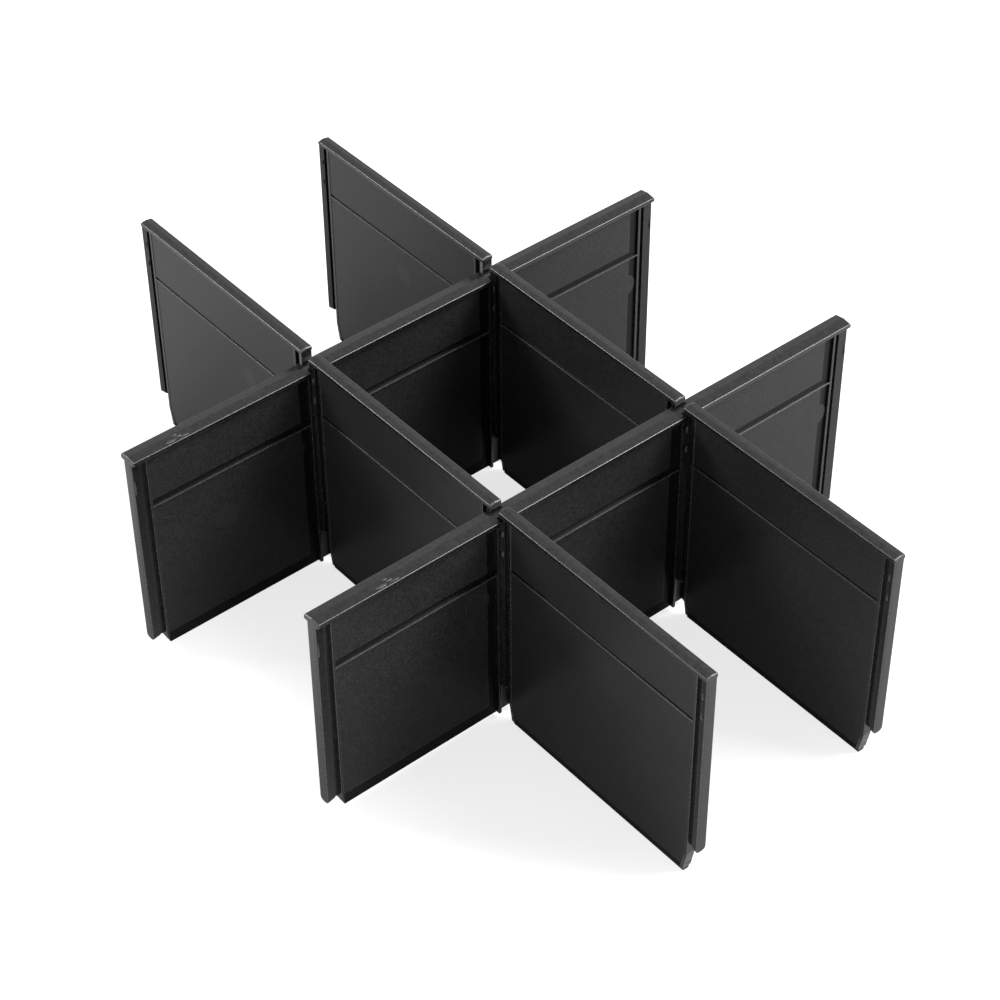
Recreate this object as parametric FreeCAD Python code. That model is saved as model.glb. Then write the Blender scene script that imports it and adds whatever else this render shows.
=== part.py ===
import FreeCAD, Part
import os

# Divider set for a storage tote or tool case: two long cross rails and six
# identical short dividers whose dovetail beads slide down into upright slots.
#
# Frame: millimetres, +Z up, origin on the floor under the middle of the set.
# +X runs along the two divider rows, from the rear rail to the front rail.
# +Y runs along the rails, from the left row to the right row.

# Layout of the set
RAIL_SPACING = 132.2
ROW_SPACING = 104.8
REAR_DIVIDER_LIFT = 1.3
FRONT_RAIL_LIFT = 2.3

# Short divider
DIVIDER_LENGTH = 127.4
DIVIDER_HEIGHT = 122.5
DIVIDER_RIM_WIDTH = 6.2
DIVIDER_RIM_DEPTH = 2.0
DIVIDER_RIM_CROWN = 0.5
DIVIDER_BODY_THICKNESS = 4.8
DIVIDER_BODY_INSET = 5.8
DIVIDER_CORNER_INSET = 8.2
DIVIDER_CORNER_HEIGHT = 13.0
DIVIDER_BEAD_DEPTH = 3.0
DIVIDER_BEAD_BOTTOM = 18.2
DIVIDER_WEB_THICKNESS = 1.8
DIVIDER_FIELD_DEPTH = 0.25
DIVIDER_RIB_WIDTH = 1.6
DIVIDER_LEDGE_DROP = 29.6
DIVIDER_GROOVE_HEIGHT = 1.3
DIVIDER_GROOVE_DEPTH = 0.9
DIVIDER_LEDGE_HEIGHT = 0.9
DIVIDER_FOOT_HEIGHT = 2.4
DIVIDER_FOOT_DEPTH = 0.8

# Long rail
RAIL_LENGTH = 302.4
RAIL_HEIGHT = 116.0
RAIL_RIM_WIDTH = 9.4
RAIL_RIM_DEPTH = 2.2
RAIL_RIM_CROWN = 0.7
RAIL_CORE_THICKNESS = 3.4
RAIL_FIELD_HALF = 2.0
RAIL_RIB_HALF = 3.0
RAIL_BODY_INSET = 7.4
RAIL_CORNER_INSET = 9.6
RAIL_CORNER_HEIGHT = 5.0
RAIL_BEAD_DEPTH = 4.4
RAIL_BEAD_BOTTOM = 6.8
RAIL_WEB_THICKNESS = 2.0
RAIL_END_RIB_WIDTH = 1.3
RAIL_CHANNEL_WIDTH = 4.6
RAIL_LEDGE_DROP = 30.9
RAIL_LEDGE_HEIGHT = 0.9
RAIL_GROOVE_HEIGHT = 2.9
RAIL_FOOT_HEIGHT = 6.6

# Beads, shared by both panels
BEAD_END_WIDTH = 5.6
BEAD_NECK_WIDTH = 4.2
BEAD_END_SETBACK = 0.2
BEAD_BOTTOM_RADIUS = 2.1
RIM_END_BEVEL = 0.9

# Snap bumps on the bead flanks: distance below the rim shoulder, height
DIVIDER_BUMPS = ((11.8, 4.4), (23.2, 4.6))
DIVIDER_BUMP_START = 1.6
DIVIDER_BUMP_TIP = 2.95
RAIL_BUMPS = ((15.4, 10.6),)
RAIL_BUMP_START = 0.2
RAIL_BUMP_TIP = 3.3
BUMP_WIDTH = 1.2

# Slots in the rails
SLOT_CLEARANCE = 0.15
SLOT_RIB_HEIGHT = 3.7
SLOT_RIB_OUTER = 4.2
RIM_NOTCH_HALF = 3.3


def vector(x, y, z):
    return FreeCAD.Vector(x, y, z)


def box(x_span, y_span, z_span):
    size = [high - low for low, high in (x_span, y_span, z_span)]
    return Part.makeBox(*size, vector(x_span[0], y_span[0], z_span[0]))


def prism(points, direction):
    wire = Part.makePolygon(points + points[:1])
    return Part.Face(wire).extrude(direction)


def fused(solids):
    return solids[0].multiFuse(solids[1:]).removeSplitter()


def both_ends(solid):
    """The solid and its mirror image about the panel's middle."""
    return [solid, solid.mirror(vector(0, 0, 0), vector(1, 0, 0))]


def both_faces(solid):
    """The solid and its mirror image about the panel's mid-plane."""
    return [solid, solid.mirror(vector(0, 0, 0), vector(0, 1, 0))]


def both_turns(solid):
    """The solid as drawn and turned half round about the upright middle line."""
    turned = solid.copy()
    turned.rotate(vector(0, 0, 0), vector(0, 0, 1), 180)
    return [solid, turned]


# Every panel is drawn along X with its mid-plane at Y = 0 and its foot at Z = 0.


def crowned_rim(length, height, width, depth, crown):
    low = height - depth
    start = -length / 2
    corners = [vector(start, -width / 2, height), vector(start, -width / 2, low),
               vector(start, width / 2, low), vector(start, width / 2, height)]
    crown_arc = Part.Arc(corners[3], vector(start, 0, height + crown), corners[0]).toShape()
    sides = Part.makePolygon(corners).Edges
    rim = Part.Face(Part.Wire(sides + [crown_arc])).extrude(vector(length, 0, 0))
    top = height + crown
    bevel = prism([vector(length / 2 - RIM_END_BEVEL, -width, top),
                   vector(length / 2 + 1, -width, top),
                   vector(length / 2 + 1, -width, height - RIM_END_BEVEL),
                   vector(length / 2, -width, height - RIM_END_BEVEL)],
                  vector(0, 2 * width, 0))
    for cutter in both_ends(bevel):
        rim = rim.cut(cutter)
    return rim


def dovetail_bead(length, depth, bottom, top):
    end = length / 2 - BEAD_END_SETBACK
    inner = end - depth
    plan = [vector(end, -BEAD_END_WIDTH / 2, 0), vector(end, BEAD_END_WIDTH / 2, 0),
            vector(inner, BEAD_NECK_WIDTH / 2, 0), vector(inner, -BEAD_NECK_WIDTH / 2, 0)]
    bead = prism(plan, vector(0, 0, top))
    half = BEAD_END_WIDTH / 2
    radius = BEAD_BOTTOM_RADIUS
    offset = radius * (1 - 2 ** -0.5)

    def point(y, z):
        return vector(inner - 1, y, z)

    edges = [Part.LineSegment(point(half, top), point(half, bottom + radius)).toShape(),
             Part.Arc(point(half, bottom + radius), point(half - offset, bottom + offset),
                      point(half - radius, bottom)).toShape(),
             Part.LineSegment(point(half - radius, bottom), point(radius - half, bottom)).toShape(),
             Part.Arc(point(radius - half, bottom), point(offset - half, bottom + offset),
                      point(-half, bottom + radius)).toShape(),
             Part.LineSegment(point(-half, bottom + radius), point(-half, top)).toShape(),
             Part.LineSegment(point(-half, top), point(half, top)).toShape()]
    outline = Part.Face(Part.Wire(edges)).extrude(vector(depth + 2, 0, 0))
    return bead.common(outline)


def snap_bumps(length, height, bumps, start, tip):
    """Low domed bars on the bead's flank, from start to start + BUMP_WIDTH in from its end."""
    inner = length / 2 - BEAD_END_SETBACK - start - BUMP_WIDTH
    root = BEAD_NECK_WIDTH / 2 - 0.3
    bars = []
    for drop, tall in bumps:
        z = height - drop
        low = vector(inner, root, z - tall / 2)
        high = vector(inner, root, z + tall / 2)
        chord = Part.LineSegment(high, low).toShape()
        bow = Part.Arc(low, vector(inner, tip, z), high).toShape()
        bars.append(Part.Face(Part.Wire([chord, bow])).extrude(vector(BUMP_WIDTH, 0, 0)))
    return bars


def divider_body():
    half = DIVIDER_LENGTH / 2
    end = half - DIVIDER_BODY_INSET
    foot = half - DIVIDER_CORNER_INSET
    top = DIVIDER_HEIGHT - DIVIDER_RIM_DEPTH
    thick = DIVIDER_BODY_THICKNESS
    face = thick / 2
    outline = [vector(-foot, -face, 0), vector(foot, -face, 0),
               vector(end, -face, DIVIDER_CORNER_HEIGHT), vector(end, -face, top),
               vector(-end, -face, top), vector(-end, -face, DIVIDER_CORNER_HEIGHT)]
    body = prism(outline, vector(0, thick, 0))
    field_end = end - DIVIDER_RIB_WIDTH
    ledge = DIVIDER_HEIGHT - DIVIDER_LEDGE_DROP
    cuts = [box((-field_end, field_end), (face - DIVIDER_FIELD_DEPTH, face + 1),
                (-1, ledge - DIVIDER_LEDGE_HEIGHT)),
            box((-field_end, field_end), (face - DIVIDER_FIELD_DEPTH, face + 1), (ledge, top)),
            box((-field_end, field_end), (face - DIVIDER_GROOVE_DEPTH, face + 1),
                (ledge, ledge + DIVIDER_GROOVE_HEIGHT)),
            box((-foot + DIVIDER_RIB_WIDTH, foot - DIVIDER_RIB_WIDTH),
                (face - DIVIDER_FOOT_DEPTH, face + 1), (-1, DIVIDER_FOOT_HEIGHT))]
    for cut in cuts:
        for side in both_faces(cut):
            body = body.cut(side)
    return body


def short_divider():
    half = DIVIDER_LENGTH / 2
    top = DIVIDER_HEIGHT - DIVIDER_RIM_DEPTH
    web_half = DIVIDER_WEB_THICKNESS / 2
    web = box((half - DIVIDER_BODY_INSET - 0.5, half - BEAD_END_SETBACK - 0.5),
              (-web_half, web_half), (DIVIDER_BEAD_BOTTOM, top))
    bead = dovetail_bead(DIVIDER_LENGTH, DIVIDER_BEAD_DEPTH, DIVIDER_BEAD_BOTTOM, top)
    pieces = [divider_body(),
              crowned_rim(DIVIDER_LENGTH, DIVIDER_HEIGHT, DIVIDER_RIM_WIDTH,
                          DIVIDER_RIM_DEPTH, DIVIDER_RIM_CROWN)]
    pieces += both_ends(web)
    pieces += both_ends(bead)
    for bump in snap_bumps(DIVIDER_LENGTH, DIVIDER_HEIGHT, DIVIDER_BUMPS,
                           DIVIDER_BUMP_START, DIVIDER_BUMP_TIP):
        for side in both_faces(bump):
            pieces += both_ends(side)
    return fused(pieces)


def rail_core():
    half = RAIL_LENGTH / 2
    end = half - RAIL_BODY_INSET
    foot = half - RAIL_CORNER_INSET
    top = RAIL_HEIGHT - RAIL_RIM_DEPTH
    face = RAIL_CORE_THICKNESS / 2
    outline = [vector(-foot, -face, 0), vector(foot, -face, 0),
               vector(end, -face, RAIL_CORNER_HEIGHT), vector(end, -face, top),
               vector(-end, -face, top), vector(-end, -face, RAIL_CORNER_HEIGHT)]
    return prism(outline, vector(0, RAIL_CORE_THICKNESS, 0))


def rail_panel(start, end):
    """What fills one face of the rail between two upright ribs, on the -Y face.

    An upper and a lower field stop short of the +X rib, which leaves a channel
    there. The ledge between them runs from rib to rib.
    """
    top = RAIL_HEIGHT - RAIL_RIM_DEPTH
    ledge = RAIL_HEIGHT - RAIL_LEDGE_DROP
    field_span = (start, end - RAIL_CHANNEL_WIDTH)
    field_depth = (-RAIL_FIELD_HALF, 0)
    return [box(field_span, field_depth, (ledge + RAIL_GROOVE_HEIGHT, top)),
            box(field_span, field_depth, (RAIL_FOOT_HEIGHT, ledge)),
            box((start, end), (-RAIL_RIB_HALF, 0), (ledge - RAIL_LEDGE_HEIGHT, ledge))]


def rail_end_rib():
    """The upright rib that closes a free end of the rail, chamfered at its foot."""
    end = RAIL_LENGTH / 2 - RAIL_BODY_INSET
    top = RAIL_HEIGHT - RAIL_RIM_DEPTH
    inner = end - RAIL_END_RIB_WIDTH
    slope = (RAIL_CORNER_INSET - RAIL_BODY_INSET) / RAIL_CORNER_HEIGHT
    foot = RAIL_CORNER_HEIGHT - RAIL_END_RIB_WIDTH / slope
    outline = [vector(inner, 0, top), vector(inner, 0, foot),
               vector(end, 0, RAIL_CORNER_HEIGHT), vector(end, 0, top)]
    return prism(outline, vector(0, RAIL_RIB_HALF, 0))


def slot_rib(centre):
    """One of the two upright ribs beside a slot, its inner flank cut to the dovetail."""
    flare = (BEAD_END_WIDTH - BEAD_NECK_WIDTH) / 2 / DIVIDER_BEAD_DEPTH
    bead_end = RAIL_SPACING / 2 - DIVIDER_LENGTH / 2 + BEAD_END_SETBACK

    def flank(depth):
        return BEAD_END_WIDTH / 2 + SLOT_CLEARANCE - (depth - bead_end) * flare

    root = RAIL_CORE_THICKNESS / 2
    plan = [vector(centre + flank(0), 0, 0), vector(centre + SLOT_RIB_OUTER, 0, 0),
            vector(centre + SLOT_RIB_OUTER, SLOT_RIB_HEIGHT, 0),
            vector(centre + flank(SLOT_RIB_HEIGHT), SLOT_RIB_HEIGHT, 0),
            vector(centre + flank(root), root, 0)]
    return prism(plan, vector(0, 0, RAIL_HEIGHT - RAIL_RIM_DEPTH))


def rim_notch(centre):
    """The clearance that a slot cuts into the rim's edge."""
    return box((centre - RIM_NOTCH_HALF, centre + RIM_NOTCH_HALF),
               (RAIL_CORE_THICKNESS / 2, RAIL_RIM_WIDTH),
               (RAIL_HEIGHT - RAIL_RIM_DEPTH, RAIL_HEIGHT + RAIL_RIM_CROWN + 1))


def long_rail():
    half = RAIL_LENGTH / 2
    top = RAIL_HEIGHT - RAIL_RIM_DEPTH
    row = ROW_SPACING / 2
    body_end = half - RAIL_BODY_INSET
    rib_inner = body_end - RAIL_END_RIB_WIDTH
    web_half = RAIL_WEB_THICKNESS / 2
    web = box((body_end - 0.5, half - BEAD_END_SETBACK - 0.5), (-web_half, web_half),
              (RAIL_BEAD_BOTTOM, top))
    bead = dovetail_bead(RAIL_LENGTH, RAIL_BEAD_DEPTH, RAIL_BEAD_BOTTOM, top)
    rim = crowned_rim(RAIL_LENGTH, RAIL_HEIGHT, RAIL_RIM_WIDTH, RAIL_RIM_DEPTH, RAIL_RIM_CROWN)
    for centre in (-row, row):
        for notch in both_faces(rim_notch(centre)):
            rim = rim.cut(notch)
    pieces = [rail_core(), rim]
    pieces += both_ends(web)
    pieces += both_ends(bead)
    for bump in snap_bumps(RAIL_LENGTH, RAIL_HEIGHT, RAIL_BUMPS, RAIL_BUMP_START, RAIL_BUMP_TIP):
        for side in both_faces(bump):
            pieces += both_ends(side)
    for side in both_faces(rail_end_rib()):
        pieces += both_ends(side)
    cells = ((-rib_inner, -row - SLOT_RIB_OUTER), (SLOT_RIB_OUTER - row, row - SLOT_RIB_OUTER),
             (row + SLOT_RIB_OUTER, rib_inner))
    for start, end in cells:
        for solid in rail_panel(start, end):
            pieces += both_turns(solid)
    rib = slot_rib(0)
    mirrored_rib = rib.mirror(vector(0, 0, 0), vector(1, 0, 0))
    for centre in (-row, row):
        for side in (rib, mirrored_rib):
            pieces += both_faces(side.translated(vector(centre, 0, 0)))
    return fused(pieces)


def placed(solid, x, y, z, turn=0):
    shape = solid.copy()
    shape.Placement = FreeCAD.Placement(vector(x, y, z), FreeCAD.Rotation(vector(0, 0, 1), turn))
    return shape


def divider_set():
    divider = short_divider()
    rail = long_rail()
    rail_x = RAIL_SPACING / 2
    row_y = ROW_SPACING / 2
    parts = {"rail_rear": placed(rail, -rail_x, 0, 0, 90),
             "rail_front": placed(rail, rail_x, 0, FRONT_RAIL_LIFT, 90)}
    columns = (("rear", -RAIL_SPACING, REAR_DIVIDER_LIFT), ("middle", 0, 0),
               ("front", RAIL_SPACING, 0))
    for column, x, lift in columns:
        for row, y in (("left", -row_y), ("right", row_y)):
            parts[f"divider_{column}_{row}"] = placed(divider, x, y, lift)
    return parts


def main():
    os.makedirs("parts", exist_ok=True)
    for node, shape in divider_set().items():
        box_size = shape.BoundBox
        print(node, "solids", len(shape.Solids), "valid", shape.isValid(),
              "volume %.0f mm3" % shape.Volume,
              "x %.1f..%.1f y %.1f..%.1f z %.1f..%.1f" % (box_size.XMin, box_size.XMax, box_size.YMin,
                                                          box_size.YMax, box_size.ZMin, box_size.ZMax))
        shape.exportStep(f"parts/{node}.step")


main()
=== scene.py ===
import math

import bmesh
import bpy
from mathutils import Matrix, Vector


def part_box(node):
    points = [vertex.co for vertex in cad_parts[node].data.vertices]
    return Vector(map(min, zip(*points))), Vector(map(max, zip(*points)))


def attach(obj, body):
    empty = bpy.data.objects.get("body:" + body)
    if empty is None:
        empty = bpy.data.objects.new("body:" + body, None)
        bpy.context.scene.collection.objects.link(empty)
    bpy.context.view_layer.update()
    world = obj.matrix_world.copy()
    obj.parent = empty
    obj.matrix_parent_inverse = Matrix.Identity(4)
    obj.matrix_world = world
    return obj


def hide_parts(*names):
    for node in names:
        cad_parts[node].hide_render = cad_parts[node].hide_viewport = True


# Looks of an interlocking divider set: two long rails and six short dividers,
# moulded in black plastic. Each panel is drawn in millimetres along X, with its
# mid-plane at Y = 0 and its foot at Z = 0, and then put where its CAD node is.

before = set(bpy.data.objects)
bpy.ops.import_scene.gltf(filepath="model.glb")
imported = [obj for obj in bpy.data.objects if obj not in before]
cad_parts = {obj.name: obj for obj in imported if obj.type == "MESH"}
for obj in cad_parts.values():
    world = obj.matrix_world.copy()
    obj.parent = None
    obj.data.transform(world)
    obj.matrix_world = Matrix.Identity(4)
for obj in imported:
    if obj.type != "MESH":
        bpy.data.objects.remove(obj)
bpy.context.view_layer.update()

MM = 0.001

# Material slots of every panel mesh: rims, ribs and beads; fields; edge strips and gate scars, the
# strips lighter as a painted highlight;
# pressed pin marks; the core seen in channels and grooves, darker as painted shade; foot corners,
# in a lighter grey
SATIN, GRAIN, SCAR_AND_HIGHLIGHT, POLISHED, SHADED_RECESS, LIGHT_CORNER = range(6)

# Short divider
DIVIDER_RIM = {"width": 6.2, "depth": 2.0, "crown": 0.5}
DIVIDER_BODY_INSET = 5.8
DIVIDER_CORNER_INSET = 8.2
DIVIDER_CORNER_HEIGHT = 13.0
DIVIDER_RIB_HALF = 2.4
DIVIDER_RIB_WIDTH = 1.6
DIVIDER_FIELD_HALF = 2.15
DIVIDER_GROOVE_HALF = 1.5
DIVIDER_LEDGE_DROP = 29.6
DIVIDER_LEDGE_HEIGHT = 0.9
DIVIDER_GROOVE_HEIGHT = 1.3
DIVIDER_FOOT_HALF = 1.6
DIVIDER_FOOT_HEIGHT = 4.2
DIVIDER_BEAD_DEPTH = 3.0
DIVIDER_BEAD_BOTTOM = 18.2
DIVIDER_WEB_HALF = 0.9
DIVIDER_CORE_INSET = 0.15
DIVIDER_CORE_EDGE = 0.1
DIVIDER_FOOT_EDGE = 0.25
DIVIDER_FOOT_OVERLAP = 0.6
DIVIDER_CORNER_EDGE = 0.15

# Long rail
RAIL_RIM = {"width": 9.4, "depth": 2.2, "crown": 0.7}
RAIL_BODY_INSET = 7.4
RAIL_CORNER_INSET = 9.6
RAIL_CORNER_HEIGHT = 5.0
RAIL_CORE_HALF = 1.7
RAIL_CORE_EDGE = 0.2
RAIL_FIELD_HALF = 2.0
RAIL_RIB_HALF = 3.0
RAIL_END_RIB_WIDTH = 1.3
RAIL_CHANNEL_WIDTH = 4.6
RAIL_LEDGE_DROP = 30.9
RAIL_LEDGE_HEIGHT = 0.9
RAIL_GROOVE_HEIGHT = 2.9
RAIL_FOOT_HEIGHT = 6.6
RAIL_BEAD_DEPTH = 4.4
RAIL_BEAD_BOTTOM = 6.8
RAIL_WEB_HALF = 1.0

# Beads
BEAD_END_HALF = 2.8
BEAD_NECK_HALF = 2.1
BEAD_END_SETBACK = 0.2
BEAD_BOTTOM_RADIUS = 2.1
BEAD_EDGE = 0.3
BEAD_BACK_LENGTH = 0.1
BEAD_BACK_RISE = 0.3
BEAD_BACK_FLARE = 0.02
BEAD_BOTTOM_FLAT = 0.05
BEAD_STRIP_HALF = 1.6
BEAD_STRIP_PROUD = 0.08
BEAD_STRIP_RISE = 0.8
BEAD_STRIP_DRAFT = 0.05
WEB_RISE = 0.4
WEB_EDGE = 0.15

# Snap bumps on the bead flanks: how far down they start, are widest and end
DIVIDER_BUMPS = ((9.6, 11.8, 14.0), (20.9, 23.2, 25.5))
DIVIDER_BUMP_START = 1.6
DIVIDER_BUMP_TIP = 2.95
RAIL_BUMPS = ((10.1, 17.7, 20.7),)
RAIL_BUMP_START = 0.2
RAIL_BUMP_TIP = 3.3
BUMP_WIDTH = 1.2
BUMP_ROOT_DEPTH = 0.3

# Slots in the rails
SLOT_CLEARANCE = 0.15
SLOT_RIB_ROOT = 0.5
SLOT_RIB_EDGE = 0.2
SLOT_RIB_TIP = 3.7
SLOT_RIB_OUTER = 4.2
NOTCH_HALF = 3.3
NOTCH_CORNER = 0.5
NOTCH_UNDERCUT = 0.2
CUTTER_REACH = 1
CUTTER_HEADROOM = 2

# Rounding of moulded edges
RIM_END_BEVEL = 0.9
RIM_END_TAPER = 0.25
RIM_EDGE = 0.35
RIDGE_HALF = 0.25
FIELD_EDGE = 0.22
RIB_EDGE = 0.3
LEDGE_EDGE = 0.35
OVERLAP = 0.5

# A face narrower than this is part of a rounded edge, which gets a lighter plastic as a painted
# highlight
HIGHLIGHT_STRIP = 0.42

# Marks that ejector pins left in the fields: place along the panel, distance
# below the rim's shoulder. A disc is pressed flat and smooth, a ring only shows.
PIN_PROUD = 0.05
PIN_DEPTH = 1
PIN_EDGE = 0.04
DIVIDER_PIN_RADIUS = 5.2
RAIL_PIN_RADIUS = 6.5
CENTRE_PIN = (1.7, 45.0)
OFFSET_PIN = (18.6, 43.8)
RAIL_DISC = (-104.6, 59.0)
RAIL_RINGS = ((-136.5, 12.5), (-136.5, 48.0), (-66.6, 43.0), (135.4, 48.0))

# Scars where the plastic entered the rail's mould, on the rim's roof: place
# along the rim and across it, length, width
GATE_SCARS = ((-3.2, -3.1, 6.0, 1.5), (1.4, -2.3, 3.4, 1.1),
              (3.8, -3.4, 4.4, 0.9), (0.2, -0.9, 2.6, 1.0))
GATE_SCAR_PROUD = 0.16
REAR_GATE = -127.0
FRONT_GATE = -114.5


# ---------------------------------------------------------------- mesh shells


def loft(rings):
    """A closed shell through rings of equally many points, capped at both ends."""
    bm = bmesh.new()
    rows = [[bm.verts.new(point) for point in ring] for ring in rings]
    count = len(rows[0])
    for low, high in zip(rows, rows[1:]):
        for i in range(count):
            j = (i + 1) % count
            bm.faces.new((low[i], low[j], high[j], high[i]))
    bm.faces.new(rows[0])
    bm.faces.new(rows[-1])
    bmesh.ops.recalc_face_normals(bm, faces=bm.faces)
    return bm


def prism(outline, low, high, axis):
    """A straight prism of a flat outline. The outline is (x, z) along Y and (x, y) along Z."""
    def place(a, b, t):
        return (a, t, b) if axis == "Y" else (a, b, t)
    return loft([[place(a, b, t) for a, b in outline] for t in (low, high)])


def softened(bm, radius):
    """The shell with all its edges rounded."""
    bmesh.ops.bevel(bm, geom=list(bm.edges), offset=radius, offset_type="OFFSET",
                    segments=2, profile=0.5, affect="EDGES", clamp_overlap=True)
    return bm


def plate(outline, low, high, radius):
    """A plate of an (x, z) outline between two places across the panel."""
    return softened(prism(outline, low, high, "Y"), radius)


def slab(outline, half, radius):
    """A plate of an (x, z) outline, as thick as half on each side of the mid-plane."""
    return plate(outline, -half, half, radius)


def rectangle(left, right, low, high):
    return [(left, low), (right, low), (right, high), (left, high)]


def turned(bm):
    """The shell turned half round about the panel's upright middle line."""
    copy = bm.copy()
    bmesh.ops.transform(copy, matrix=Matrix.Rotation(math.pi, 4, "Z"), verts=copy.verts)
    return copy


def both_ends(bm):
    """The shell as drawn and turned to the panel's other end and other face."""
    return [bm, turned(bm)]


def rim_ring(x, rim, height, inset, drop):
    """The rim's section at x: square lips, rounded shoulders and a shallow roof."""
    half = rim["width"] / 2 - inset
    low = height - rim["depth"] + inset
    top = height - drop
    r = RIM_EDGE
    crown = rim["crown"]
    corner = [math.radians(step) for step in (0, 30, 60, 90)]
    right = [(half - r + r * math.sin(a), low + r - r * math.cos(a)) for a in corner]
    slope = crown / half
    right += [(half - r + r * math.cos(a), top - r + r * math.sin(a)) for a in corner]
    right.append((RIDGE_HALF, top + slope * (half - RIDGE_HALF)))
    left = [(-y, z) for y, z in reversed(right)]
    return [(x, y, z) for y, z in right + left]


def rim_shell(length, height, rim):
    """The full-length rim, its top edge rounded down at both ends."""
    half_rings = []
    for step in (90, 65, 40, 20, 0):
        a = math.radians(step)
        x = length / 2 - RIM_END_BEVEL + RIM_END_BEVEL * math.sin(a)
        fall = RIM_END_BEVEL * (1 - math.cos(a))
        half_rings.append(rim_ring(x, rim, height, fall * RIM_END_TAPER, fall))
    mirrored = [[(-x, y, z) for x, y, z in ring] for ring in half_rings]
    return loft(mirrored + half_rings[::-1])


def bead_ring(x, half, bottom, top):
    """A U-shaped section of a bead, in the plane across the panel."""
    radius = min(BEAD_BOTTOM_RADIUS, half - BEAD_BOTTOM_FLAT)
    arc = [math.radians(step) for step in range(0, 91, 15)]
    side = [(half, top)]
    side += [(half - radius + radius * math.cos(a), bottom + radius - radius * math.sin(a))
             for a in arc]
    return [(x, y, z) for y, z in side + [(-y, z) for y, z in reversed(side)]]


def bead_shell(length, depth, bottom, top):
    """The upright dovetail bead, its end face softened and left with a raised strip."""
    end = length / 2 - BEAD_END_SETBACK
    inner = end - depth
    rings = [bead_ring(inner, BEAD_NECK_HALF, bottom + BEAD_BACK_RISE, top),
             bead_ring(inner + BEAD_BACK_LENGTH, BEAD_NECK_HALF + BEAD_BACK_FLARE, bottom, top)]
    for step in (0, 30, 60, 90):
        a = math.radians(step)
        inset = BEAD_EDGE * (1 - math.cos(a))
        rings.append(bead_ring(end - BEAD_EDGE * (1 - math.sin(a)), BEAD_END_HALF - inset,
                               bottom + inset, top))
    strip = bottom + BEAD_STRIP_RISE
    rings.append(bead_ring(end, BEAD_STRIP_HALF + BEAD_STRIP_DRAFT, strip, top))
    rings.append(bead_ring(end + BEAD_STRIP_PROUD, BEAD_STRIP_HALF, strip + BEAD_STRIP_DRAFT, top))
    return loft(rings)


def bump_shell(x, height, bump, side, tip):
    """A low bump on the bead's flank, widest between its two ends."""
    start, widest, end = bump
    bm = bmesh.new()
    bmesh.ops.create_uvsphere(bm, u_segments=16, v_segments=12, radius=1.0)
    root = BEAD_NECK_HALF - BUMP_ROOT_DEPTH
    for vert in bm.verts:
        reach = widest - start if vert.co.z > 0 else end - widest
        vert.co = (x + vert.co.x * BUMP_WIDTH / 2, side * root + vert.co.y * (tip - root),
                   height - widest + vert.co.z * reach)
    return bm


def end_fittings(length, height, rim, bead_depth, bead_bottom, web_half, web_start):
    """The webs and beads at both ends of a panel."""
    top = height - rim["depth"] + OVERLAP
    end = length / 2 - BEAD_END_SETBACK
    web = rectangle(web_start - OVERLAP, end - bead_depth + OVERLAP, bead_bottom + WEB_RISE, top)
    bead = bead_shell(length, bead_depth, bead_bottom, top)
    return both_ends(slab(web, web_half, WEB_EDGE)) + both_ends(bead)


def snap_bumps(length, height, bumps, start, tip):
    """The bumps on both flanks of the beads at both ends."""
    x = length / 2 - BEAD_END_SETBACK - start - BUMP_WIDTH / 2
    shells = []
    for bump in bumps:
        for side in (-1, 1):
            shells += both_ends(bump_shell(x, height, bump, side, tip))
    return shells


def pin_mark(place, height, radius, surface):
    """The round mark of an ejector pin on the -Y face of a field."""
    x, drop = place
    turns = [math.radians(step) for step in range(0, 360, 10)]
    circle = [(x + radius * math.cos(a), height - drop + radius * math.sin(a)) for a in turns]
    return plate(circle, -surface - PIN_PROUD, PIN_DEPTH - surface, PIN_EDGE)


# -------------------------------------------------------------- the two panels


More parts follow.
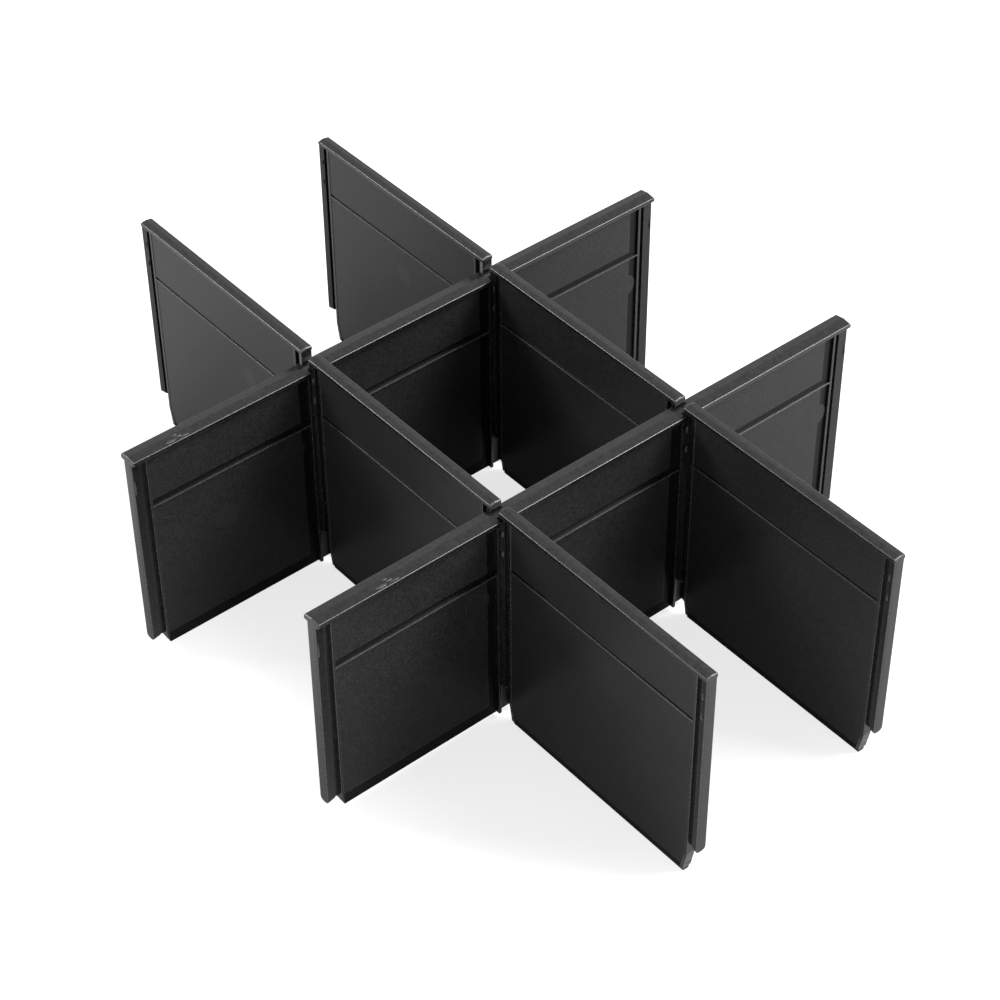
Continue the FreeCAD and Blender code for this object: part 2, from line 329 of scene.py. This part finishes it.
def divider_shells(length, height, pin):
    """(shell, material slot) of a whole short divider, with one pin mark on its -Y face."""
    end = length / 2 - DIVIDER_BODY_INSET
    foot = length / 2 - DIVIDER_CORNER_INSET
    top = height - DIVIDER_RIM["depth"] + OVERLAP
    field_end = end - DIVIDER_RIB_WIDTH
    slope = (end - foot) / DIVIDER_CORNER_HEIGHT

    def symmetric(right):
        return right + [(-x, z) for x, z in reversed(right)]

    core_end = end - DIVIDER_CORE_INSET
    core = symmetric([(foot - DIVIDER_CORE_INSET, DIVIDER_CORE_INSET),
                      (core_end, DIVIDER_CORNER_HEIGHT), (core_end, top)])
    shoe_top = DIVIDER_FOOT_HEIGHT + DIVIDER_FOOT_OVERLAP
    shoe = symmetric([(foot, 0), (foot + slope * shoe_top, shoe_top)])
    rib = [(field_end, (field_end - foot) / slope), (end, DIVIDER_CORNER_HEIGHT), (end, top),
           (field_end, top)]
    corner = [(foot + slope * DIVIDER_FOOT_HEIGHT / 2, DIVIDER_FOOT_HEIGHT / 2),
              (end, DIVIDER_CORNER_HEIGHT), (field_end, DIVIDER_CORNER_HEIGHT),
              (foot - DIVIDER_RIB_WIDTH, DIVIDER_FOOT_HEIGHT / 2)]
    ledge = height - DIVIDER_LEDGE_DROP
    under = field_end + OVERLAP
    ledge_rib = rectangle(-under, under, ledge - DIVIDER_LEDGE_HEIGHT, ledge)
    lower = symmetric([(foot + slope * DIVIDER_FOOT_HEIGHT, DIVIDER_FOOT_HEIGHT),
                       (under, (under - foot) / slope),
                       (under, ledge - DIVIDER_LEDGE_HEIGHT / 2)])
    upper = rectangle(-under, under, ledge + DIVIDER_GROOVE_HEIGHT, top)
    satin = [rim_shell(length, height, DIVIDER_RIM), slab(ledge_rib, DIVIDER_RIB_HALF, LEDGE_EDGE)]
    # The core and the foot shoe take a darker plastic: painted shade in the groove and under the
    # fields.
    shaded_recess = [slab(core, DIVIDER_GROOVE_HALF, DIVIDER_CORE_EDGE),
              slab(shoe, DIVIDER_FOOT_HALF, DIVIDER_FOOT_EDGE)]
    satin += both_ends(slab(rib, DIVIDER_RIB_HALF, RIB_EDGE))
    # The foot corners take a lighter grey plastic.
    light_corners = both_ends(slab(corner, DIVIDER_RIB_HALF, DIVIDER_CORNER_EDGE))
    satin += end_fittings(length, height, DIVIDER_RIM, DIVIDER_BEAD_DEPTH, DIVIDER_BEAD_BOTTOM,
                          DIVIDER_WEB_HALF, end)
    satin += snap_bumps(length, height, DIVIDER_BUMPS, DIVIDER_BUMP_START, DIVIDER_BUMP_TIP)
    grain = [slab(field, DIVIDER_FIELD_HALF, FIELD_EDGE) for field in (lower, upper)]
    polished = [pin_mark(pin, height, DIVIDER_PIN_RADIUS, DIVIDER_FIELD_HALF)]
    return ([(bm, SATIN) for bm in satin] + [(bm, GRAIN) for bm in grain]
            + [(bm, LIGHT_CORNER) for bm in light_corners] + [(bm, POLISHED) for bm in polished]
            + [(bm, SHADED_RECESS) for bm in shaded_recess])


def slot_rib(centre, side, face, top, bead_end):
    """One of the ribs beside a slot, its inner flank cut to the dovetail."""
    flare = (BEAD_END_HALF - BEAD_NECK_HALF) / DIVIDER_BEAD_DEPTH

    def flank(depth):
        return BEAD_END_HALF + SLOT_CLEARANCE - (depth - bead_end) * flare

    plan = [(flank(SLOT_RIB_ROOT), SLOT_RIB_ROOT), (SLOT_RIB_OUTER, SLOT_RIB_ROOT),
            (SLOT_RIB_OUTER, SLOT_RIB_TIP), (flank(SLOT_RIB_TIP), SLOT_RIB_TIP)]
    plan = [(centre + side * x, face * y) for x, y in plan]
    return softened(prism(plan, 0, top, "Z"), SLOT_RIB_EDGE)


def notch_cutter(centre, face, low, high):
    """The clearance that a slot cuts into the rim's edge, with rounded inner corners."""
    reach = RAIL_RIM["width"] / 2 + CUTTER_REACH
    r = NOTCH_CORNER
    arc = [math.radians(step) for step in (0, 22.5, 45, 67.5, 90)]
    side = [(NOTCH_HALF - r + r * math.sin(a), RAIL_CORE_HALF + r - r * math.cos(a)) for a in arc]
    side.append((NOTCH_HALF, reach))
    plan = side + [(-x, y) for x, y in reversed(side)]
    return prism([(centre + x, face * y) for x, y in plan], low, high, "Z")


def rail_panel(left, right, height, top):
    """(satin, grain) shells of one cell on the -Y face: a ledge, and fields beside a channel."""
    ledge = height - RAIL_LEDGE_DROP
    field = right - RAIL_CHANNEL_WIDTH
    start = left - OVERLAP
    upper = rectangle(start, field, ledge + RAIL_GROOVE_HEIGHT, top)
    lower = rectangle(start, field, RAIL_FOOT_HEIGHT, ledge - RAIL_LEDGE_HEIGHT / 2)
    rib = rectangle(start, right + OVERLAP, ledge - RAIL_LEDGE_HEIGHT, ledge)
    satin = [plate(rib, -RAIL_RIB_HALF, 0, LEDGE_EDGE)]
    grain = [plate(outline, -RAIL_FIELD_HALF, 0, FIELD_EDGE) for outline in (upper, lower)]
    return satin, grain


def gate_scar(height, gate):
    """Low smears on the rim's roof where the gate was broken off."""
    slope = RAIL_RIM["crown"] / (RAIL_RIM["width"] / 2)
    smears = []
    for x, y, length, width in GATE_SCARS:
        bm = bmesh.new()
        bmesh.ops.create_uvsphere(bm, u_segments=14, v_segments=10, radius=1.0)
        roof = height + RAIL_RIM["crown"] + y * slope
        size = Matrix.Diagonal((length / 2, width / 2, GATE_SCAR_PROUD, 1.0))
        place = Matrix.Translation((gate + x, y, roof))
        bmesh.ops.transform(bm, matrix=place @ size, verts=bm.verts)
        smears.append(bm)
    return smears


def rail_shells(length, height, slots, bead_end, gate, discs):
    """The shells of a long rail with their material slots, its rim, and the rim's cutters."""
    end = length / 2 - RAIL_BODY_INSET
    foot = length / 2 - RAIL_CORNER_INSET
    top = height - RAIL_RIM["depth"] + OVERLAP
    core = [(-foot, 0), (foot, 0), (end, RAIL_CORNER_HEIGHT), (end, top), (-end, top),
            (-end, RAIL_CORNER_HEIGHT)]
    inner = end - RAIL_END_RIB_WIDTH
    slope = (RAIL_CORNER_INSET - RAIL_BODY_INSET) / RAIL_CORNER_HEIGHT
    rib = [(inner, RAIL_CORNER_HEIGHT - RAIL_END_RIB_WIDTH / slope), (end, RAIL_CORNER_HEIGHT),
           (end, top), (inner, top)]
    satin = both_ends(slab(rib, RAIL_RIB_HALF, RIB_EDGE))
    satin += end_fittings(length, height, RAIL_RIM, RAIL_BEAD_DEPTH, RAIL_BEAD_BOTTOM,
                          RAIL_WEB_HALF, end)
    satin += snap_bumps(length, height, RAIL_BUMPS, RAIL_BUMP_START, RAIL_BUMP_TIP)
    satin += [slot_rib(centre, side, face, top, bead_end)
              for centre in slots for side in (-1, 1) for face in (-1, 1)]
    grain = [pin_mark(ring, height, RAIL_PIN_RADIUS, RAIL_FIELD_HALF) for ring in RAIL_RINGS]
    left, right = slots
    cells = ((-inner, left - SLOT_RIB_OUTER), (left + SLOT_RIB_OUTER, right - SLOT_RIB_OUTER),
             (right + SLOT_RIB_OUTER, inner))
    for start, stop in cells:
        smooth, grained = rail_panel(start, stop, height, top)
        for shell in smooth:
            satin += both_ends(shell)
        for shell in grained:
            grain += both_ends(shell)
    polished = [pin_mark(disc, height, RAIL_PIN_RADIUS, RAIL_FIELD_HALF) for disc in discs]
    shells = [(bm, SATIN) for bm in satin] + [(bm, GRAIN) for bm in grain]
    # The gate scars share the lighter plastic that paints the edge highlights.
    shells += [(bm, POLISHED) for bm in polished] + [(bm, SCAR_AND_HIGHLIGHT) for bm in gate_scar(height, gate)]
    # The core, seen in the channels, slots and foot band, takes the darker plastic as painted
    # shade.
    shells.append((slab(core, RAIL_CORE_HALF, RAIL_CORE_EDGE), SHADED_RECESS))
    rim = rim_shell(length, height, RAIL_RIM)
    low = height - RAIL_RIM["depth"] - NOTCH_UNDERCUT
    high = height + CUTTER_HEADROOM
    cutters = [notch_cutter(centre, face, low, high) for centre in slots for face in (-1, 1)]
    return shells, rim, cutters


# ------------------------------------------------------------------- booleans


def shell_object(bm, slot, materials):
    """The shell as an object. Its narrow strips get a lighter plastic as a painted highlight, and
    the rest has the slot's material.
    """
    for face in bm.faces:
        longest = max(edge.calc_length() for edge in face.edges)
        # Narrow strips on rounded edges and bumps take the lighter plastic: a painted highlight.
        face.material_index = SCAR_AND_HIGHLIGHT if face.calc_area() < HIGHLIGHT_STRIP * longest else slot
    mesh = bpy.data.meshes.new("shell")
    bm.to_mesh(mesh)
    bm.free()
    for material in materials:
        mesh.materials.append(material)
    piece = bpy.data.objects.new("shell", mesh)
    bpy.context.scene.collection.objects.link(piece)
    return piece


def combined(base, others, operation):
    """base with the other objects added to it or cut from it. The others are used up."""
    group = bpy.data.collections.new("operands")
    bpy.context.scene.collection.children.link(group)
    for other in others:
        group.objects.link(other)
    modifier = base.modifiers.new("combine", "BOOLEAN")
    modifier.operation = operation
    modifier.operand_type = "COLLECTION"
    modifier.collection = group
    modifier.solver = "EXACT"
    modifier.material_mode = "TRANSFER"
    bpy.context.view_layer.update()
    graph = bpy.context.evaluated_depsgraph_get()
    mesh = bpy.data.meshes.new_from_object(base.evaluated_get(graph), depsgraph=graph)
    base.modifiers.clear()
    base.data = mesh
    for other in others:
        bpy.data.objects.remove(other)
    bpy.data.collections.remove(group)
    return base


def panel_mesh(shells, materials, cut_rim=None):
    """One mesh of all the shells. shells is a list of (bmesh, material slot)."""
    parts = [shell_object(bm, slot, materials) for bm, slot in shells]
    if cut_rim:
        rim, cutters = cut_rim
        rim_part = shell_object(rim, SATIN, materials)
        tools = [shell_object(cutter, SATIN, materials) for cutter in cutters]
        parts.insert(0, combined(rim_part, tools, "DIFFERENCE"))
    whole = combined(parts[0], parts[1:], "UNION")
    mesh = whole.data
    bpy.data.objects.remove(whole)
    mesh.transform(Matrix.Scale(MM, 4))
    mesh.shade_smooth()
    mesh.set_sharp_from_angle(angle=math.radians(38))
    return mesh


# ------------------------------------------------------------------ materials


# Noise, in features per metre, and the span that most of its values lie in
PATCH_SCALE = 38.0
SCRATCH_SCALE = 60.0
SCRATCH_STRETCH = (4.0, 4.0, 60.0)
NOISE_SPAN = (0.3, 0.7)
GLOSS_PATCHES = 0.015
GLOSS_SPECKLE = 0.03


def node(tree, kind, **settings):
    made = tree.nodes.new(kind)
    for name, value in settings.items():
        setattr(made, name, value)
    return made


def noise(tree, coords, scale, detail=2.0, roughness=0.5, stretch=None):
    """The grey value of a noise texture in object space, in features per metre."""
    if stretch:
        mapping = node(tree, "ShaderNodeMapping")
        mapping.inputs["Scale"].default_value = stretch
        tree.links.new(coords, mapping.inputs["Vector"])
        coords = mapping.outputs["Vector"]
    made = node(tree, "ShaderNodeTexNoise")
    made.inputs["Scale"].default_value = scale
    made.inputs["Detail"].default_value = detail
    made.inputs["Roughness"].default_value = roughness
    tree.links.new(coords, made.inputs["Vector"])
    return made.outputs["Fac"]


def ranged(tree, value, source, target):
    made = node(tree, "ShaderNodeMapRange")
    made.inputs["From Min"].default_value = source[0]
    made.inputs["From Max"].default_value = source[1]
    made.inputs["To Min"].default_value = target[0]
    made.inputs["To Max"].default_value = target[1]
    tree.links.new(value, made.inputs["Value"])
    return made.outputs["Result"]


def maths(tree, operation, first, second):
    made = node(tree, "ShaderNodeMath", operation=operation)
    tree.links.new(first, made.inputs[0])
    tree.links.new(second, made.inputs[1])
    return made.outputs[0]


def blended(tree, factor, first, second):
    """A colour between two fixed ones."""
    made = node(tree, "ShaderNodeMix", data_type="RGBA")
    tree.links.new(factor, made.inputs["Factor"])
    ends = [socket for socket in made.inputs if socket.type == "RGBA"]
    for socket, colour in zip(ends, (first, second)):
        socket.default_value = colour
    return [socket for socket in made.outputs if socket.type == "RGBA"][0]


def plastic(name, dark, light, roughness, specular, grain_scale, grain_height, scratch_height=0.0):
    """Black moulded plastic: mottled between two greys, finely grained and uneven in its gloss."""
    material = bpy.data.materials.new(name)
    material.use_nodes = True
    tree = material.node_tree
    tree.nodes.clear()
    shader = node(tree, "ShaderNodeBsdfPrincipled")
    shader.inputs["IOR"].default_value = 1.5
    shader.inputs["Specular IOR Level"].default_value = specular
    output = node(tree, "ShaderNodeOutputMaterial")
    tree.links.new(shader.outputs["BSDF"], output.inputs["Surface"])
    coords = node(tree, "ShaderNodeTexCoord").outputs["Object"]

    patches = noise(tree, coords, PATCH_SCALE, 3.0)
    speckle = noise(tree, coords, grain_scale, 1.0)
    mottle = maths(tree, "MULTIPLY", ranged(tree, patches, NOISE_SPAN, (0.7, 1.0)),
                   ranged(tree, speckle, NOISE_SPAN, (0.0, 1.0)))
    tree.links.new(blended(tree, mottle, dark, light), shader.inputs["Base Color"])

    gloss = ranged(tree, patches, NOISE_SPAN,
                   (roughness - GLOSS_PATCHES, roughness + GLOSS_PATCHES))
    gloss = maths(tree, "ADD", gloss,
                  ranged(tree, speckle, NOISE_SPAN, (-GLOSS_SPECKLE, GLOSS_SPECKLE)))
    tree.links.new(gloss, shader.inputs["Roughness"])

    scratches = node(tree, "ShaderNodeBump")
    scratches.inputs["Strength"].default_value = 1.0
    scratches.inputs["Distance"].default_value = scratch_height
    lines = noise(tree, coords, SCRATCH_SCALE, 4.0, 0.6, stretch=SCRATCH_STRETCH)
    tree.links.new(lines, scratches.inputs["Height"])
    pores = node(tree, "ShaderNodeBump")
    pores.inputs["Strength"].default_value = 1.0
    pores.inputs["Distance"].default_value = grain_height
    tree.links.new(noise(tree, coords, grain_scale, 3.0, 0.55), pores.inputs["Height"])
    tree.links.new(scratches.outputs["Normal"], pores.inputs["Normal"])
    tree.links.new(pores.outputs["Normal"], shader.inputs["Normal"])
    return material


def plastics():
    """The six plastics of a panel, in the order of its material slots. One paints highlights on
    edge strips, and one paints shade in recesses.
    """
    return [
        plastic("satin_rim_plastic", (0.005, 0.005, 0.0055, 1), (0.012, 0.012, 0.0125, 1),
                roughness=0.24, specular=0.5, grain_scale=500.0, grain_height=0.000008,
                scratch_height=0.00001),
        plastic("grained_field_plastic", (0.009, 0.009, 0.0092, 1), (0.028, 0.0275, 0.028, 1),
                roughness=0.33, specular=0.25, grain_scale=1300.0, grain_height=0.00002),
        # Lighter plastic: a painted highlight on narrow edge strips and bumps, and the gate scars
        plastic("scar_and_edge_highlight_plastic", (0.03, 0.03, 0.0305, 1), (0.05, 0.0495, 0.0495, 1),
                roughness=0.27, specular=0.6, grain_scale=700.0, grain_height=0.000003),
        plastic("polished_mark_plastic", (0.018, 0.018, 0.0185, 1), (0.023, 0.023, 0.0235, 1),
                roughness=0.31, specular=0.28, grain_scale=1300.0, grain_height=0.000008),
        # Darker plastic: painted shade in grooves, channels and recessed foot bands
        plastic("painted_shade_recess_plastic", (0.0025, 0.0025, 0.0027, 1), (0.006, 0.006, 0.0063, 1),
                roughness=0.36, specular=0.14, grain_scale=700.0, grain_height=0.000008),
        # Lighter grey plastic for the foot corners
        plastic("light_foot_corner_plastic", (0.03, 0.03, 0.03, 1), (0.055, 0.0545, 0.054, 1),
                roughness=0.3, specular=0.5, grain_scale=700.0, grain_height=0.000004),
    ]


# --------------------------------------------------------------------- pieces


def panel_size(name, rim):
    """(length, height of the rim's shoulder) of a CAD panel, in millimetres."""
    low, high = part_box(name)
    size = (high - low) / MM
    return max(size.x, size.y), size.z - rim["crown"]


def panel_place(name, turn):
    """Where a panel drawn about the origin goes: turned, and put in its CAD node's box."""
    low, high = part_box(name)
    centre = (low + high) / 2
    return Matrix.Translation((centre.x, centre.y, low.z)) @ Matrix.Rotation(turn, 4, "Z")


def add_panel(mesh, name, turn):
    """The finished piece that stands for a CAD node."""
    made = mesh.copy()
    made.transform(panel_place(name, turn))
    piece = bpy.data.objects.new(f"{name}_panel", made)
    bpy.context.scene.collection.objects.link(piece)
    normals = piece.modifiers.new("flat_faces", "WEIGHTED_NORMAL")
    normals.keep_sharp = True
    normals.weight = 100
    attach(piece, name)
    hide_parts(name)
    return piece


def add_dividers(names, materials):
    """The six short dividers. The pin mark of one of them is off centre."""
    length, height = panel_size(names[0], DIVIDER_RIM)
    centre_pin = panel_mesh(divider_shells(length, height, CENTRE_PIN), materials)
    offset_pin = panel_mesh(divider_shells(length, height, OFFSET_PIN), materials)
    for name in names:
        mesh = offset_pin if name == "divider_rear_left" else centre_pin
        turn = 0.0 if name.startswith("divider_rear") else math.pi
        add_panel(mesh, name, turn)


def add_rails(names, dividers, materials):
    """The two long rails, with slots where the dividers stand."""
    rows = sorted({round(sum(c.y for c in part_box(name)) / 2 / MM, 3) for name in dividers})
    rail_x = sum(c.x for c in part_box("rail_front")) / 2
    bead_end = abs(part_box("divider_front_left")[0].x - rail_x) / MM + BEAD_END_SETBACK
    length, height = panel_size(names[0], RAIL_RIM)
    for name in names:
        gate, discs = (REAR_GATE, [RAIL_DISC]) if name == "rail_rear" else (FRONT_GATE, [])
        shells, rim, cutters = rail_shells(length, height, rows, bead_end, gate, discs)
        add_panel(panel_mesh(shells, materials, (rim, cutters)), name, math.pi / 2)


def add_panels():
    dividers = [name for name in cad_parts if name.startswith("divider_")]
    rails = [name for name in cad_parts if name.startswith("rail_")]
    materials = plastics()
    add_dividers(dividers, materials)
    add_rails(rails, dividers, materials)


# --------------------------------------------------------------------- studio


FLOOR_HALF = 6.0


def add_floor(name, drop, white, glow):
    """A wide matt white sheet, a hair below the object's feet."""
    bm = bmesh.new()
    bmesh.ops.create_grid(bm, x_segments=1, y_segments=1, size=FLOOR_HALF)
    mesh = bpy.data.meshes.new(name)
    bm.to_mesh(mesh)
    bm.free()
    floor = bpy.data.objects.new(name, mesh)
    bpy.context.scene.collection.objects.link(floor)
    floor.location.z = -drop
    material = bpy.data.materials.new(name)
    material.use_nodes = True
    shader = material.node_tree.nodes["Principled BSDF"]
    shader.inputs["Base Color"].default_value = (white, white, white, 1)
    shader.inputs["Roughness"].default_value = 0.9
    shader.inputs["Specular IOR Level"].default_value = 0.0
    shader.inputs["Emission Color"].default_value = (1, 1, 1, 1)
    shader.inputs["Emission Strength"].default_value = glow
    mesh.materials.append(material)
    return floor


def add_floors():
    """A light table: the sheet that is seen glows, and the one under it sends back light."""
    seen = add_floor("light_table", drop=0.0002, white=0.35, glow=0.72)
    seen.visible_diffuse = False
    seen.visible_glossy = False
    seen.visible_shadow = False
    bounce = add_floor("bounce_sheet", drop=0.0004, white=0.48, glow=0.0)
    bounce.visible_camera = False


def direction(azimuth, elevation):
    """The unit vector from the object towards a place seen at these angles, in degrees."""
    a = math.radians(azimuth)
    e = math.radians(elevation)
    return Vector((math.sin(a) * math.cos(e), -math.cos(a) * math.cos(e), math.sin(e)))


def add_softbox(name, azimuth, elevation, distance, size, power, colour):
    """A soft rectangular lamp that faces the object."""
    light = bpy.data.lights.new(name, "AREA")
    light.shape = "RECTANGLE"
    light.size, light.size_y = size
    light.energy = power
    light.color = colour
    lamp = bpy.data.objects.new(name, light)
    bpy.context.scene.collection.objects.link(lamp)
    away = direction(azimuth, elevation)
    lamp.location = away * distance
    lamp.rotation_euler = away.to_track_quat("Z", "Y").to_euler()


def add_lights():
    world = bpy.data.worlds.new("studio")
    world.use_nodes = True
    backdrop = world.node_tree.nodes["Background"]
    backdrop.inputs["Color"].default_value = (1.0, 1.0, 1.0, 1)
    backdrop.inputs["Strength"].default_value = 0.78
    bpy.context.scene.world = world
    add_softbox("key_softbox", azimuth=140, elevation=47, distance=2.2, size=(1.1, 1.0),
                power=78, colour=(1.0, 0.975, 0.95))
    add_softbox("fill_softbox", azimuth=-55, elevation=39, distance=2.2, size=(0.8, 0.8),
                power=36, colour=(0.94, 0.97, 1.0))


# Camera: where it looks, its angles and distance, and its lens
CAMERA_TARGET = Vector((0.0072, -0.0037, 0.0569))
CAMERA_AZIMUTH = 50.54
CAMERA_ELEVATION = 42.03
CAMERA_ROLL = -0.48
CAMERA_DISTANCE = 1.2136
CAMERA_LENS = 96.0


def add_camera():
    data = bpy.data.cameras.new("camera")
    data.lens = CAMERA_LENS
    data.sensor_width = 36.0
    camera = bpy.data.objects.new("camera", data)
    bpy.context.scene.collection.objects.link(camera)
    away = direction(CAMERA_AZIMUTH, CAMERA_ELEVATION)
    roll = Matrix.Rotation(math.radians(CAMERA_ROLL), 3, "Z").to_quaternion()
    camera.location = CAMERA_TARGET + away * CAMERA_DISTANCE
    camera.rotation_euler = (away.to_track_quat("Z", "Y") @ roll).to_euler()
    bpy.context.scene.camera = camera


add_camera()
add_floors()
add_lights()
add_panels()
bpy.context.scene.view_settings.view_transform = "Standard"
